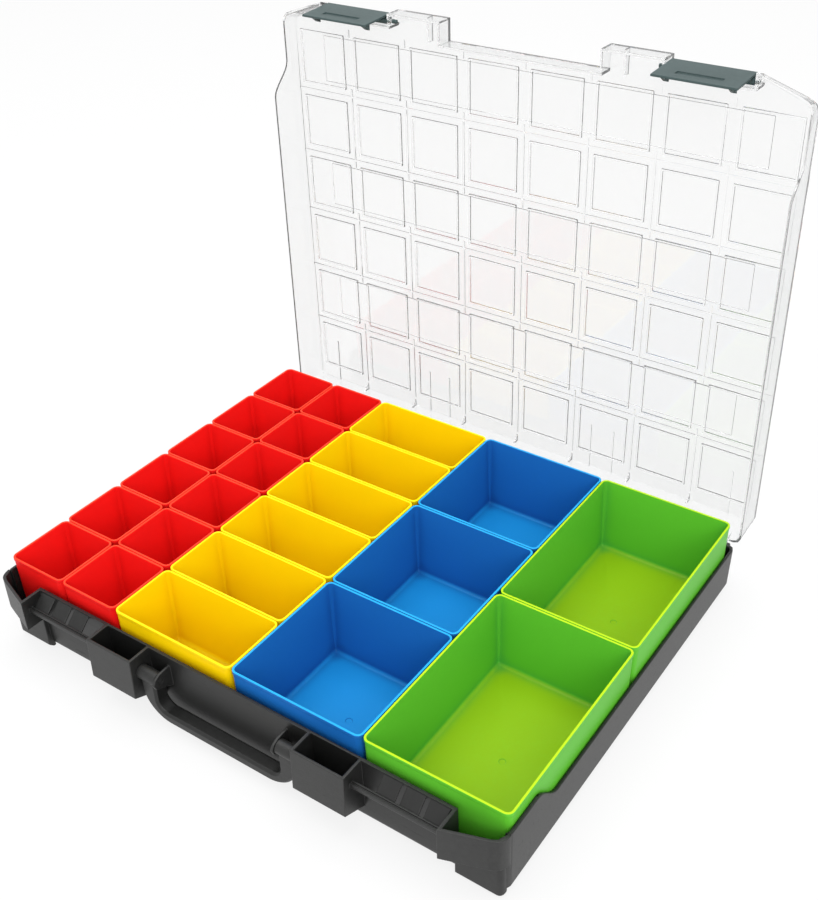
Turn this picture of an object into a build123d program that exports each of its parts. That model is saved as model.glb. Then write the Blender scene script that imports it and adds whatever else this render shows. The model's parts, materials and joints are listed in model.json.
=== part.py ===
from build123d import *
import math
import os

os.makedirs("parts", exist_ok=True)

# Grid of loose boxes
UNIT = 52.0
COLS = 8
ROWS = 6
BOX_H = 63.0
BOX_GAP = 0.6
BOX_WALL = 1.3
BOX_DRAFT = 1.5
BOX_CORNER = 4.5
RIM_BAND = 2.6
RIM_PROUD = 0.35
DIMPLE_R = 2.5
DIMPLE_DEPTH = 0.4
CORNER_STEPS = 2

# Tray
TRAY_WALL = 2.2
TRAY_FLOOR = 2.0
FOOT_H = 1.5
TRAY_DRAFT = 1.4
SIDE_GAP = 2.0
REAR_GAP = 10.0
FRONT_GAP = 5.3
RIM_DROP_FRONT = 11.0
RIM_DROP_REAR = 27.9
STEP_START = 28.0
STEP_LENGTH = 25.0
TRAY_CORNER = 5.0
PLINTH_IN = 12.0
TRAY_RIB_T = 1.8
TRAY_RIB_DROP_FRONT = 6.0
TRAY_RIB_DROP_REAR = 3.0
TRAY_RIB_ROOT = 0.25
EDGE_ROUND = [(7.0, 0.0), (3.6, 1.9), (1.0, 3.9), (0.0, 7.0)]
FOOT_ROUND = 3.6

# Blocks along the front
CORNER_BLOCK_W = 37.0
BLOCK_REACH = 17.2
CORNER_TAPER = 10.0
CORNER_TURN = 7.0
CORNER_BEND = 6.0
CORNER_DROP = 24.9
FOOT_REACH = 2.2
POCKET_IN = 67.4
POCKET_OUT = 108.1
POCKET_DROP = 32.5
POCKET_SLOPE = 9.2
POCKET_LEAN = 1.1
BLOCK_WALL = 2.2

# Catch bars between the blocks
BAR_REACH = 12.1
BAR_DEEP = 3.4
BAR_DROP = 8.5
BAR_H = 3.4
GROOVE_DEEP = 0.9
BRACE_IN = 16.4
BRACE_W = 13.6
BRACE_PITCH = 16.8
BRACE_T = 1.8
BRACE_DROP = 1.4
BRACES = 3

# Carrying handle and its cheeks
PIVOT_REACH = 9.1
PIVOT_DROP = 13.3
KNUCKLE_R = 5.0
STUB_R = 2.2
CHEEK_IN = 49.2
CHEEK_T = 2.0
CHEEK_RIM = 1.6
CHEEK_DROP = 7.0
CHEEK_SKIRT = 5.0
STOP_T = 2.0
STOP_HIGH = 15.0
STOP_LOW = 24.0
GRIP_DROP = 33.3
GRIP_H = 8.2
GRIP_DEEP = 11.0
GRIP_BACK = 1.6
ARM_W = 12.6
GRIP_CORNER = 23.0
GRIP_EDGE = 1.6
PALM_CORNER = 8.0
HANDLE_PLAY = 2.4

# Lid
LID_PANEL = 1.9
LID_GAP = 2.2
LID_WALL = 1.6
LID_FLARE = 0.8
LID_PROUD = 0.4
LID_LEAN = 5.0
LID_SLANT = 5.5
LID_TURN = 15.0
CLEAR_BACK = 1.5
LATCH_SHELF = 6.2
BAND_H = 1.6
BAND_HALF = 17.7
BAND_END = 26.0
PART_GAP = 0.3
RING_W = 42.0
RING_T = 1.3
RING_H = 1.9
RIB_T = 1.3
RIB_H = 1.0
RIB_TICK = 6.2
HINGE_RIB_X = [78.0, 198.0]
HINGE_RIB_LONG = 31.0
GUSSET = 6.0
CLEAR_IN = 64.0
CLEAR_OUT = 110.0
CLEAR_WALL = 2.0
CLEAR_WEB = 14.0

# Hinges
HINGE_X = [78.0, 194.0]
HINGE_OUT = 1.9
HINGE_DROP = 4.3
HINGE_W = 20.0
LUG_T = 3.8
LUG_R = 3.2
EAR_BEND = 9.0
EAR_FOOT = 15.0
LEDGE_T = 2.0
LEDGE_BRACE = 6.0
RELIEF_PLAY = 0.4
ARM_ROOT = 11.0
PIN_R = 1.5

# Latches
LATCH_PLAY = 1.6
LATCH_PIVOT_RISE = 5.2
LATCH_PIVOT_REACH = 9.4
LATCH_LONG = 32.0
LATCH_T = 1.6
LATCH_LEAN = 1.6
LATCH_FRONT = 5.3
LATCH_HUB = 2.6
LATCH_PIN_R = 1.5
LATCH_PIN_IN = 5.5
HOOK_IN = 4.4
HOOK_W = 3.6
HOOK_REACH = 6.4
HOOK_FOOT = 2.2
HOOK_GAP = 0.4
HOOK_T = 2.4
GRIP_PAD_IN = 13.0
GRIP_PAD_LOW = 7.0
GRIP_PAD_H = 5.0

# Fits, and how far a rib or block runs into the wall that carries it
RUN = 0.08
SIDE_PLAY = 0.3
ROOT = 0.8
JOIN = 0.5

# Places that follow from the sizes above
GRID_X = COLS * UNIT / 2
GRID_Y = ROWS * UNIT / 2
FLOOR_Z = FOOT_H + TRAY_FLOOR
RIM_Z = FLOOR_Z + BOX_H
TRAY_X = GRID_X + SIDE_GAP
TRAY_REAR = GRID_Y + REAR_GAP
TRAY_FRONT = -(GRID_Y + FRONT_GAP)
TRAY_TOP = RIM_Z - RIM_DROP_FRONT
TRAY_LOW = RIM_Z - RIM_DROP_REAR
BLOCK_FRONT = TRAY_FRONT - BLOCK_REACH
STEP_A = -GRID_Y + STEP_START
STEP_B = STEP_A + STEP_LENGTH
CORNER_IN = TRAY_X - CORNER_BLOCK_W
BAR_FRONT = TRAY_FRONT - BAR_REACH
BAR_BACK = BAR_FRONT + BAR_DEEP
BAR_TOP = TRAY_TOP - BAR_DROP
CORNER_LOW = TRAY_TOP - CORNER_DROP
POCKET_LOW = TRAY_TOP - POCKET_DROP
PIVOT_Y = TRAY_FRONT - PIVOT_REACH
PIVOT_Z = TRAY_TOP - PIVOT_DROP
GRIP_LOW = PIVOT_Z - GRIP_DROP
CHEEK_OUT = CHEEK_IN + CHEEK_T
PANEL_LOW = RIM_Z + LID_GAP
PANEL_TOP = PANEL_LOW + LID_PANEL
HINGE_Y = TRAY_REAR + HINGE_OUT
HINGE_Z = TRAY_LOW - HINGE_DROP
LATCH_Y = TRAY_FRONT - LATCH_PIVOT_REACH
LATCH_PIVOT_Z = TRAY_TOP + LATCH_PIVOT_RISE
LATCH_X0 = CLEAR_OUT + LATCH_PLAY
LATCH_X1 = CORNER_IN - CLEAR_WALL - LATCH_PLAY


def wall_back(z):
    """Outer face of the tray's front wall at height z."""
    return TRAY_FRONT + TRAY_DRAFT * (TRAY_TOP - z) / TRAY_TOP


def prism_x(points, x0, x1):
    """A (y, z) outline run along X from x0 to x1."""
    outline = Polyline(*[(x0, y, z) for y, z in points], close=True)
    return extrude(make_face(outline), amount=x1 - x0, dir=(1, 0, 0))


def prism_z(points, z0, z1):
    """An (x, y) outline raised from z0 to z1."""
    outline = Polyline(*[(x, y, z0) for x, y in points], close=True)
    return extrude(make_face(outline), amount=z1 - z0, dir=(0, 0, 1))


def block(x0, x1, y0, y1, z0, z1):
    """A plain box between two corners."""
    centre = Pos((x0 + x1) / 2, (y0 + y1) / 2, (z0 + z1) / 2)
    return centre * Box(x1 - x0, y1 - y0, z1 - z0)


def rod_x(x0, x1, y, z, r):
    """A round bar along X."""
    return Pos((x0 + x1) / 2, y, z) * Rot(0, 90, 0) * Cylinder(r, x1 - x0)


def both(shape):
    """A shape and its mirror image in the YZ plane."""
    return shape + mirror(shape, about=Plane.YZ)


def flat_sided(levels):
    """Solid through outlines with the same number of corners, from the lowest up, with flat sides."""
    count = len(levels[0])
    faces = [Face(Wire.make_polygon(levels[0])), Face(Wire.make_polygon(levels[-1]))]
    for low, high in zip(levels, levels[1:]):
        for i in range(count):
            j = (i + 1) % count
            faces.append(Face(Wire.make_polygon([low[i], low[j], high[j], high[i]])))
    return Part() + Solid(Shell(faces))


def rounded(w, d, corner, z, cx=0.0, cy=0.0):
    """Outline of a w by d rectangle at height z, each corner rounded in CORNER_STEPS short sides."""
    points = []
    for quarter, (sx, sy) in enumerate(((1, 1), (-1, 1), (-1, -1), (1, -1))):
        for i in range(CORNER_STEPS + 1):
            turn = math.radians(90 * quarter + 90 * i / CORNER_STEPS)
            x = cx + sx * (w / 2 - corner) + corner * math.cos(turn)
            y = cy + sy * (d / 2 - corner) + corner * math.sin(turn)
            points.append((x, y, z))
    return points


def tapered(w, d, corner, z0, z1, grow, cx=0.0, cy=0.0):
    """A rounded rectangle w by d at z0 whose sides move out by grow on the way to z1."""
    low = rounded(w, d, corner, z0, cx, cy)
    high = rounded(w + 2 * grow, d + 2 * grow, corner, z1, cx, cy)
    return flat_sided([low, high])


def step_line(offset):
    """Points of the parting line in (y, z), from front to rear, shifted up by offset."""
    points = []
    steps = 8
    for i in range(steps + 1):
        t = i / steps
        ease = t * t * (3 - 2 * t)
        y = STEP_A + (STEP_B - STEP_A) * t
        z = TRAY_TOP + (TRAY_LOW - TRAY_TOP) * ease + offset
        points.append((y, z))
    return points


def above_parting(offset):
    """Everything above the parting line."""
    far = 60.0
    high = PANEL_TOP + far
    line = step_line(offset)
    front = BLOCK_FRONT - far
    rear = TRAY_REAR + far
    points = [(front, high), (front, line[0][1])] + line + [(rear, line[-1][1]), (rear, high)]
    return prism_x(points, -TRAY_X - far, TRAY_X + far)


def corner_outline(inset):
    """Plan of the right corner block, drawn in from its outer faces by inset."""
    run = CORNER_BLOCK_W - CORNER_TURN
    back = inset * math.hypot(CORNER_TAPER, run) / run
    slope = CORNER_TAPER / run
    x0 = CORNER_IN + inset
    x2 = TRAY_X - inset
    x1 = TRAY_X - CORNER_TURN - inset * 0.5
    y0 = BLOCK_FRONT + back + slope * inset
    y1 = BLOCK_FRONT + back + slope * (x1 - CORNER_IN)
    yr = TRAY_FRONT + TRAY_WALL + ROOT
    return [(x0, yr), (x0, y0), (x1, y1), (x1 + 0.62 * (x2 - x1), y1 + 0.37 * CORNER_BEND),
            (x2, y1 + 1.25 * CORNER_BEND), (x2, yr)]


def corner_block():
    """Hollow block at the right front corner, open at the top, with its foot below."""
    shell = prism_z(corner_outline(0.0), CORNER_LOW, TRAY_TOP)
    x0 = CORNER_IN + BLOCK_WALL
    x1 = TRAY_X - TRAY_DRAFT - 1.0
    y0 = TRAY_FRONT - FOOT_REACH
    y1 = TRAY_FRONT + TRAY_WALL + 1.0
    levels = []
    for inset, z in ((FOOT_ROUND, 0.0), (0.0, FOOT_ROUND), (0.0, CORNER_LOW + JOIN)):
        x2 = x1 - inset
        y2 = y0 + inset
        levels.append([(x0, y2, z), (x2, y2, z), (x2, y1, z), (x0, y1, z)])
    return shell + flat_sided(levels)


def corner_hollow():
    """Space inside the right corner block and its foot, open to the tray's inside."""
    inner = prism_z(corner_outline(TRAY_WALL), CORNER_LOW + TRAY_WALL, TRAY_TOP + 5)
    x0 = CORNER_IN + BLOCK_WALL + TRAY_WALL
    x1 = TRAY_X - TRAY_DRAFT - 1.0 - TRAY_WALL
    foot = block(x0, x1, TRAY_FRONT - FOOT_REACH + TRAY_WALL, TRAY_FRONT + TRAY_WALL + 3.0,
                 FLOOR_Z, CORNER_LOW + TRAY_WALL + 1)
    way = block(x0, x1 - 2, TRAY_FRONT - 1.0, TRAY_FRONT + TRAY_WALL + 3.0, CORNER_LOW, TRAY_TOP + 5)
    return inner + foot + way


def pocket_block():
    """Block with an open-topped pocket, right of the handle."""
    back = TRAY_FRONT + TRAY_WALL - JOIN
    outer = [(back, POCKET_LOW - POCKET_SLOPE), (BLOCK_FRONT - POCKET_LEAN, POCKET_LOW),
             (BLOCK_FRONT, TRAY_TOP), (back, TRAY_TOP)]
    return prism_x(outer, POCKET_IN, POCKET_OUT)


def pocket_hollow():
    """The pocket in that block, in front of the tray's wall."""
    t = BLOCK_WALL
    back = wall_back(POCKET_LOW) - 0.2
    front = BLOCK_FRONT - POCKET_LEAN + t
    inner = [(back, POCKET_LOW - POCKET_SLOPE + 1.5 * t), (front, POCKET_LOW + t),
             (front + POCKET_LEAN, TRAY_TOP + 5), (back, TRAY_TOP + 5)]
    return prism_x(inner, POCKET_IN + t, POCKET_OUT - t)


def catch_bar():
    """Grooved bar that the right latch hooks under, with the sloped braces behind it."""
    x0 = POCKET_OUT - JOIN
    x1 = CORNER_IN + JOIN
    bar = block(x0, x1, BAR_FRONT, BAR_BACK, BAR_TOP - BAR_H, BAR_TOP)
    third = BAR_DEEP / 3
    bar -= block(x0, x1, BAR_FRONT + third, BAR_BACK - third, BAR_TOP - GROOVE_DEEP, BAR_TOP + 1)
    wall = TRAY_FRONT + ROOT
    rise = wall - BAR_BACK
    low = BAR_TOP - BRACE_DROP
    foot = BAR_BACK - JOIN
    brace = [(foot, low), (wall, low + rise), (wall, low + rise - BRACE_T), (foot, low - BRACE_T)]
    for i in range(BRACES):
        x = POCKET_OUT + BRACE_IN + i * BRACE_PITCH
        bar += prism_x(brace, x, x + BRACE_W)
    return bar


def cheek():
    """Web that carries the inner end of the handle's right pivot."""
    nose = KNUCKLE_R + CHEEK_RIM
    back = TRAY_FRONT + ROOT
    plate = [(back, TRAY_TOP - CHEEK_DROP), (PIVOT_Y, PIVOT_Z + nose * 0.88),
             (PIVOT_Y - nose * 0.7, PIVOT_Z + nose * 0.55), (PIVOT_Y - nose, PIVOT_Z),
             (PIVOT_Y - nose * 0.7, PIVOT_Z - nose * 0.7), (PIVOT_Y, PIVOT_Z - nose),
             (back, PIVOT_Z - nose - CHEEK_SKIRT)]
    return prism_x(plate, CHEEK_IN, CHEEK_OUT)


def handle_stop():
    """Upright rib on the front wall that the handle's arm hangs against."""
    mid = (CHEEK_OUT + POCKET_IN) / 2
    face = PIVOT_Y + GRIP_DEEP / 2 + GRIP_BACK + PART_GAP
    half = STOP_T / 2
    return block(mid - half, mid + half, face, TRAY_FRONT + TRAY_WALL, PIVOT_Z - STOP_LOW, PIVOT_Z - STOP_HIGH)


def hinge_lugs(x):
    """Two ears for one hinge pin, with the ledge that the open lid rests on."""
    half = HINGE_W / 2
    wall = TRAY_REAR - ROOT
    r = LUG_R
    ear = [(wall, TRAY_LOW), (HINGE_Y - r * 0.38, HINGE_Z + r * 0.9), (HINGE_Y + r * 0.5, HINGE_Z + r * 0.86),
           (HINGE_Y + r, HINGE_Z + r * 0.12), (HINGE_Y + r, HINGE_Z - r / 2),
           (HINGE_Y + r * 0.4, HINGE_Z - EAR_BEND), (wall, HINGE_Z - EAR_FOOT)]
    ears = prism_x(ear, x - half, x - half + LUG_T) + prism_x(ear, x + half - LUG_T, x + half)
    top = HINGE_Z - r - PART_GAP
    ledge = [(wall, top), (HINGE_Y + r, top), (HINGE_Y + r, top - LEDGE_T), (wall, top - LEDGE_BRACE)]
    return ears + prism_x(ledge, x - half, x + half)


def hinge_relief(x):
    """Hollow in the rear wall that the lid's knuckle turns in."""
    half = HINGE_W / 2 - LUG_T
    r = LUG_R + RELIEF_PLAY
    room = rod_x(x - half, x + half, HINGE_Y, HINGE_Z, r)
    return room + block(x - half, x + half, HINGE_Y - r, HINGE_Y + r + 1, HINGE_Z, TRAY_LOW + 5)


def tray_ribs():
    """Upright ribs on the front and rear walls that keep the boxes in their columns."""
    near = GRID_Y + SIDE_PLAY
    low = FLOOR_Z - TRAY_RIB_ROOT
    inside = TRAY_WALL - TRAY_RIB_ROOT
    outlines = []
    for face, top, side in ((TRAY_REAR, TRAY_LOW - TRAY_RIB_DROP_REAR, 1),
                            (TRAY_FRONT, TRAY_TOP - TRAY_RIB_DROP_FRONT, -1)):
        y_low = face - side * (inside + TRAY_DRAFT * (1 - low / TRAY_TOP))
        y_top = face - side * (inside + TRAY_DRAFT * (1 - top / TRAY_TOP))
        outlines.append([(side * near, low), (y_low, low), (y_top, top), (side * near, top)])
    ribs = []
    for i in range(1, COLS):
        x = -GRID_X + i * UNIT - TRAY_RIB_T / 2
        for outline in outlines:
            ribs.append(prism_x(outline, x, x + TRAY_RIB_T))
    return ribs


def tray_form():
    """Outer form of the tray, its lower edge drawn in as EDGE_ROUND says."""
    mid = (TRAY_REAR + TRAY_FRONT) / 2
    levels = []
    for inset, z in EDGE_ROUND + [(0.0, TRAY_TOP)]:
        draw = inset + TRAY_DRAFT * (1 - z / TRAY_TOP)
        w = 2 * (TRAY_X - draw)
        d = TRAY_REAR - TRAY_FRONT - 2 * draw
        levels.append(rounded(w, d, TRAY_CORNER, z, 0, mid))
    return flat_sided(levels)


def tray():
    """The base with its walls, feet, blocks, bars, cheeks and hinge ears."""
    w = 2 * (TRAY_X - TRAY_DRAFT)
    d = TRAY_REAR - TRAY_FRONT - 2 * TRAY_DRAFT
    mid = (TRAY_REAR + TRAY_FRONT) / 2
    body = tray_form()
    body += both(corner_block())
    body += both(pocket_block())
    t2 = 2 * TRAY_WALL
    inner = tapered(w - t2, d - t2, TRAY_CORNER - 1.5, 0, TRAY_TOP, TRAY_DRAFT, 0, mid)
    inner = inner & block(-TRAY_X, TRAY_X, TRAY_FRONT, TRAY_REAR, FLOOR_Z, TRAY_TOP + 5)
    lift = block(-TRAY_X + TRAY_WALL, TRAY_X - TRAY_WALL, TRAY_FRONT + TRAY_WALL, TRAY_REAR - TRAY_WALL,
                 TRAY_TOP - 0.5, TRAY_TOP + 5)
    body -= inner + lift
    body -= both(corner_hollow())
    body -= both(pocket_hollow())
    x = TRAY_X - PLINTH_IN
    body -= block(-x, x, TRAY_FRONT + PLINTH_IN, TRAY_REAR - PLINTH_IN, -1, FOOT_H)
    body -= above_parting(0.0)
    body += tray_ribs()
    body += both(catch_bar())
    body += both(cheek() + handle_stop())
    for x in HINGE_X:
        body += both(hinge_lugs(x))
    for x in HINGE_X:
        body -= both(hinge_relief(x))
        body -= both(rod_x(x - HINGE_W, x + HINGE_W, HINGE_Y, HINGE_Z, PIN_R))
    body -= both(rod_x(CHEEK_IN - 1, POCKET_IN + BLOCK_WALL + JOIN, PIVOT_Y, PIVOT_Z, STUB_R + RUN))
    return body


def loose_box(nx, ny):
    """One lift-out box, nx by ny grid cells, with its corner on the origin of its rim plane."""
    w = nx * UNIT - BOX_GAP
    d = ny * UNIT - BOX_GAP
    straight = BOX_H - RIM_BAND
    slim = 2 * (BOX_DRAFT + RIM_PROUD)
    body = tapered(w - slim, d - slim, BOX_CORNER, 0, straight, BOX_DRAFT)
    body += tapered(w, d, BOX_CORNER + RIM_PROUD, straight, BOX_H, 0)
    thick = slim + 2 * BOX_WALL
    deep = BOX_H + 1 - BOX_WALL
    grow = BOX_DRAFT * deep / straight
    body -= tapered(w - thick, d - thick, BOX_CORNER - 1.0, BOX_WALL, BOX_H + 1, grow)
    dimple = Pos(0, 0, BOX_WALL - DIMPLE_DEPTH) * RegularPolygon(DIMPLE_R, 8)
    body -= extrude(dimple, amount=1.0)
    return body


def box_places():
    """Name, size in cells and first cell of every loose box."""
    places = []
    for col in range(2):
        for row in range(ROWS):
            places.append((f"inset_red_{col * ROWS + row + 1}", 1, 1, col, row))
    for row in range(ROWS):
        places.append((f"inset_yellow_{row + 1}", 2, 1, 2, row))
    for row in range(0, ROWS, 2):
        places.append((f"inset_blue_{row // 2 + 1}", 2, 2, 4, row))
    for row in range(0, ROWS, 3):
        places.append((f"inset_green_{row // 3 + 1}", 2, 3, 6, row))
    return places


def lid_outline(drop, inset):
    """Plan of the lid's right half, drop below its top face, drawn in by inset."""
    flare = LID_FLARE * drop / (PANEL_TOP - TRAY_LOW)
    x2 = TRAY_X + LID_PROUD - LID_FLARE + flare - inset
    lean = LID_LEAN * drop / (PANEL_TOP - TRAY_TOP)
    front = TRAY_FRONT + ROOT + inset
    clear = BLOCK_FRONT + CLEAR_BACK + inset
    recess = TRAY_FRONT - LATCH_SHELF + inset
    step = CORNER_IN - CLEAR_WALL + inset
    slant = BLOCK_FRONT + LID_SLANT - lean + inset * 1.2
    turn = BLOCK_FRONT + LID_TURN - lean * 0.9 + inset * 1.1
    return [(0, front), (CLEAR_IN + inset, front), (CLEAR_IN + inset, clear), (CLEAR_OUT - inset, clear),
            (CLEAR_OUT - inset, recess), (step, recess), (step, slant), (TRAY_X - 10 - inset * 0.6, turn),
            (x2 - 2.4, turn + 3.2), (x2, turn + 8.5), (x2, TRAY_REAR - 5 - inset * 0.4),
            (x2 - 1.5, TRAY_REAR - 1.5 - inset * 0.8), (x2 - 5, TRAY_REAR - inset), (0, TRAY_REAR - inset)]


def lid_solid(z0, z1, inset):
    """The lid's outer or inner form between two heights."""
    faces = []
    for z in (z0, z1):
        half = lid_outline(PANEL_TOP - z, inset)
        full = half + [(-x, y) for x, y in reversed(half[1:-1])]
        faces.append(make_face(Polyline(*[(x, y, z) for x, y in full], close=True)))
    return loft(faces, ruled=True)


def ring(cx, cy):
    """Raised square ring under the lid that sits just inside the mouth of a box."""
    outer = Rectangle(RING_W, RING_W)
    inner = Rectangle(RING_W - 2 * RING_T, RING_W - 2 * RING_T)
    return Pos(cx, cy, PANEL_LOW - RING_H) * extrude(outer - inner, amount=RING_H + 0.3)


def lid_ribs():
    """Rings for every cell, and the low ribs between the cells."""
    parts = []
    for i in range(COLS):
        for j in range(ROWS):
            parts.append(ring(-GRID_X + (i + 0.5) * UNIT, -GRID_Y + (j + 0.5) * UNIT))
    low = PANEL_LOW - RIB_H
    high = PANEL_LOW + 0.3
    half = RIB_T / 2
    for j in range(1, ROWS):
        y = -GRID_Y + j * UNIT
        parts.append(block(-GRID_X, GRID_X, y - half, y + half, low, high))
    for i in range(1, COLS):
        x = -GRID_X + i * UNIT
        for j in range(ROWS):
            y0 = -GRID_Y + j * UNIT
            y1 = y0 + UNIT
            if j % 2:
                parts.append(block(x - half, x + half, y0, y1, low, high))
            else:
                parts.append(block(x - half, x + half, y0, y0 + RIB_TICK, low, high))
                parts.append(block(x - half, x + half, y1 - RIB_TICK, y1, low, high))
    return parts


def hinge_ribs():
    """Pairs of ribs in the right half of the last row, one each side of a hinge arm."""
    parts = []
    end = TRAY_REAR - LID_WALL + JOIN
    for x in HINGE_RIB_X:
        for side in (-1, 1):
            mid = x + side * HINGE_W / 2
            parts.append(block(mid - RIB_T / 2, mid + RIB_T / 2, GRID_Y - HINGE_RIB_LONG, end,
                               PANEL_LOW - RIB_H, PANEL_LOW + 0.3))
    return parts


def rear_gussets():
    """Small gussets between the panel and the rear skirt, one at each line between two columns."""
    wall = TRAY_REAR - LID_WALL
    shape = [(wall - GUSSET, PANEL_LOW + 0.3), (wall - GUSSET, PANEL_LOW - 1.0), (wall + JOIN, PANEL_LOW - GUSSET),
             (wall + JOIN, PANEL_LOW + 0.3)]
    parts = []
    for i in range(1, COLS):
        x = -GRID_X + i * UNIT
        parts.append(prism_x(shape, x - RIB_T / 2, x + RIB_T / 2))
    return parts


def clear_web():
    """Web across the inside of the right clear block."""
    front = BLOCK_FRONT + CLEAR_BACK + LID_WALL / 2
    x = CLEAR_IN + CLEAR_WEB
    return block(x, x + RIB_T, front, TRAY_FRONT + ROOT + LID_WALL, PANEL_LOW - GUSSET, PANEL_LOW + 0.3)


def lid_bands():
    """Raised stacking bands on top of the lid, over every other row."""
    bands = []
    for j in range(0, ROWS, 2):
        y = -GRID_Y + (j + 0.5) * UNIT
        bands.append(block(-GRID_X + BAND_END, GRID_X - BAND_END, y - BAND_HALF, y + BAND_HALF,
                           PANEL_TOP - 0.3, PANEL_TOP + BAND_H))
    return bands


def lid_arm(x):
    """Arm and knuckle that join the lid's rear skirt to a hinge pin."""
    half = HINGE_W / 2 - LUG_T - SIDE_PLAY
    face = TRAY_REAR - 0.5
    arm = [(face, TRAY_LOW + ARM_ROOT), (TRAY_REAR + LUG_R * 0.44, TRAY_LOW + ARM_ROOT * 0.73),
           (HINGE_Y + LUG_R, HINGE_Z + LUG_R * 2), (HINGE_Y + LUG_R, HINGE_Z), (HINGE_Y - 1.0, HINGE_Z),
           (HINGE_Y - LUG_R * 0.8, HINGE_Z + 2.0), (face, TRAY_LOW + 0.6)]
    return prism_x(arm, x - half, x + half) + rod_x(x - half, x + half, HINGE_Y, HINGE_Z, LUG_R)


def latch_lugs():
    """Thickened side walls of the right latch bay that hold the latch's pins."""
    low = LATCH_PIVOT_Z - 4.0
    high = PANEL_TOP
    left = block(CLEAR_OUT - CLEAR_WALL, CLEAR_OUT, LATCH_Y - 4.2, TRAY_FRONT - 5.5, low, high)
    step = CORNER_IN - CLEAR_WALL
    right = block(step, step + CLEAR_WALL, LATCH_Y - 1.8, TRAY_FRONT - 5.5, low, high)
    lip = block(step, step + CLEAR_WALL, LATCH_Y - 4.2, LATCH_Y, low, LATCH_PIVOT_Z + 4.5)
    return left + right + lip


def lid():
    """The clear cover with its skirt, ribs, bands, hinge arms and latch bays."""
    shell = lid_solid(TRAY_LOW + PART_GAP, PANEL_TOP, 0.0)
    shell -= lid_solid(TRAY_LOW - 1, PANEL_LOW, LID_WALL)
    shell = shell & above_parting(PART_GAP)
    for x in HINGE_X:
        shell += both(lid_arm(x))
    shell += both(latch_lugs())
    shell += both(clear_web())
    for rib in hinge_ribs():
        shell += both(rib)
    shell += lid_bands() + lid_ribs() + rear_gussets()
    for x in HINGE_X:
        shell -= both(rod_x(x - HINGE_W, x + HINGE_W, HINGE_Y, HINGE_Z, PIN_R + RUN))
    hole = rod_x(CLEAR_OUT - LATCH_PIN_IN - 1, CORNER_IN + 3, LATCH_Y, LATCH_PIVOT_Z, LATCH_PIN_R + RUN)
    shell -= both(hole)
    return shell


def latch_right():
    """Leaning flap with its hub, end pins, grip recess and the two hooks that go under the bar."""
    top = LATCH_PIVOT_Z + LATCH_HUB
    low = top - LATCH_LONG
    face = LATCH_Y - LATCH_FRONT
    outline = [(face, top), (face + LATCH_LEAN, low), (face + LATCH_LEAN + LATCH_T, low), (face + LATCH_T, top)]
    body = prism_x(outline, LATCH_X0, LATCH_X1)
    body += rod_x(LATCH_X0, LATCH_X1, LATCH_Y, LATCH_PIVOT_Z, LATCH_HUB)
    body += block(LATCH_X0, LATCH_X1, face + LATCH_T - 0.5, LATCH_Y, LATCH_PIVOT_Z - 1.0, top)
    back = face + LATCH_LEAN + LATCH_T - 0.6
    hook = BAR_TOP - BAR_H - HOOK_GAP
    tip = BAR_FRONT + HOOK_REACH
    claw = [(back, low + HOOK_FOOT), (tip - 1.0, hook - HOOK_T), (tip, hook), (back, hook)]
    body += prism_x(claw, LATCH_X0 + HOOK_IN, LATCH_X0 + HOOK_IN + HOOK_W)
    body += prism_x(claw, LATCH_X1 - HOOK_IN - HOOK_W, LATCH_X1 - HOOK_IN)
    pad = low + GRIP_PAD_LOW
    body -= block(LATCH_X0 + GRIP_PAD_IN, LATCH_X1 - GRIP_PAD_IN, face - 1, face + LATCH_LEAN + 0.3,
                  pad, pad + GRIP_PAD_H)
    return body + rod_x(CLEAR_OUT - LATCH_PIN_IN, CORNER_IN - 0.4, LATCH_Y, LATCH_PIVOT_Z, LATCH_PIN_R)


def handle():
    """Carrying handle hanging from two pivots below the front edge."""
    outer = POCKET_IN - HANDLE_PLAY
    front = PIVOT_Y - GRIP_DEEP / 2 + GRIP_BACK
    back = front + GRIP_DEEP
    top = PIVOT_Z - KNUCKLE_R * 0.4
    plan = Plane(origin=(0, back, 0), x_dir=(1, 0, 0), z_dir=(0, -1, 0))
    loop = Pos(0, (top + GRIP_LOW) / 2) * Rectangle(2 * outer, top - GRIP_LOW)
    low_pair = loop.vertices().filter_by(lambda v: v.Y < GRIP_LOW + 1)
    loop = fillet(low_pair, GRIP_CORNER)
    hole_low = GRIP_LOW + GRIP_H
    inner = outer - ARM_W
    hand = Pos(0, (top + 5 + hole_low) / 2) * Rectangle(2 * inner, top + 5 - hole_low)
    pair = hand.vertices().filter_by(lambda v: v.Y < hole_low + 1)
    hand = fillet(pair, PALM_CORNER)
    body = extrude(plan * (loop - hand), amount=GRIP_DEEP)
    rims = [e for e in body.edges().filter_by(Axis.X) if e.center().Z < hole_low + 1]
    body = chamfer(rims, GRIP_EDGE)
    a = CHEEK_OUT + SIDE_PLAY
    b = POCKET_IN - SIDE_PLAY
    trim = block(-outer - 1, outer + 1, front - 1, back + 1, PIVOT_Z - KNUCKLE_R, top + 1)
    keep = block(-outer - 1, outer + 1, PIVOT_Y - KNUCKLE_R, PIVOT_Y + KNUCKLE_R, PIVOT_Z - KNUCKLE_R, top + 1)
    body -= trim - keep
    ends = rod_x(a, b, PIVOT_Y, PIVOT_Z, KNUCKLE_R)
    ends += rod_x(a - CHEEK_T, b + BLOCK_WALL, PIVOT_Y, PIVOT_Z, STUB_R)
    return body + both(ends)


def save(shape, node):
    """Write one piece as a STEP file named after its node."""
    export_step(shape, f"parts/{node}.step")


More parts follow.
